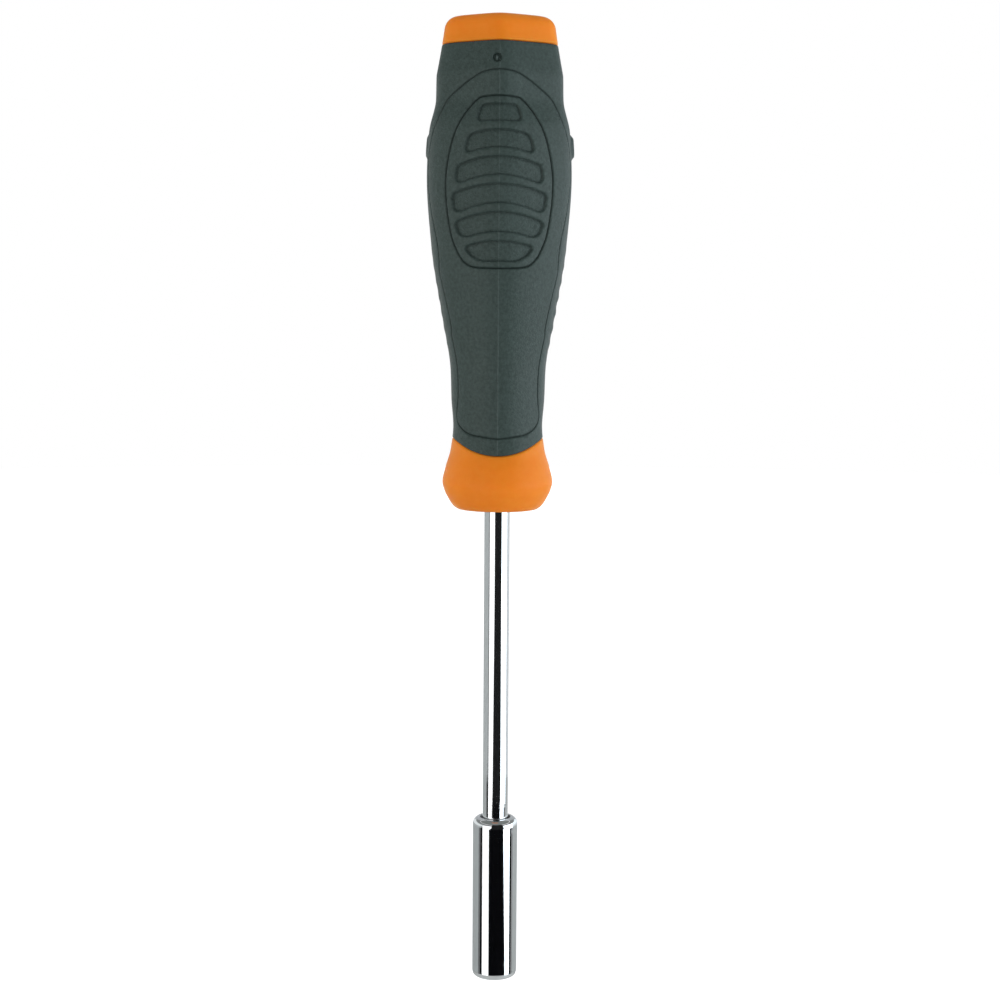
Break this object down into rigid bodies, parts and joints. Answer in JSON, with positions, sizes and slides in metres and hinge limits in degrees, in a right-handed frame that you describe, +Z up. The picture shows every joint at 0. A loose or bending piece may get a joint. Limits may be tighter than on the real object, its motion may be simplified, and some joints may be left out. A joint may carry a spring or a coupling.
{
  "type": "bit holder screwdriver",
  "caption": "Hand screwdriver with a soft two-colour handle, a round chromed shaft and a magnetic hex socket sleeve that takes loose screwdriver bits.",
  "frame": {"origin": "centre of the bit socket's mouth, the lowest point of the tool held tip down", "axes": "+Z runs up the shaft from the socket's mouth to the butt; the handle's front ridge faces -Y; +X is to the right seen from the front"},
  "size_m": [0.0331, 0.034, 0.22],
  "materials": {
    "chrome": "bright polished chrome plate",
    "spring_steel": "dull drawn spring wire",
    "magnet_nickel": "satin nickel plate",
    "orange_plastic": "satin moulded plastic",
    "slate_rubber": "matte fine-grained soft moulding"
  },
  "bodies": {
    "root": {"bit_sleeve": "chrome", "retaining_ring": "spring_steel", "magnet": "magnet_nickel", "shaft": "chrome", "handle_core": "orange_plastic", "end_cap": "orange_plastic", "grip": "slate_rubber"}
  },
  "joints": []
}
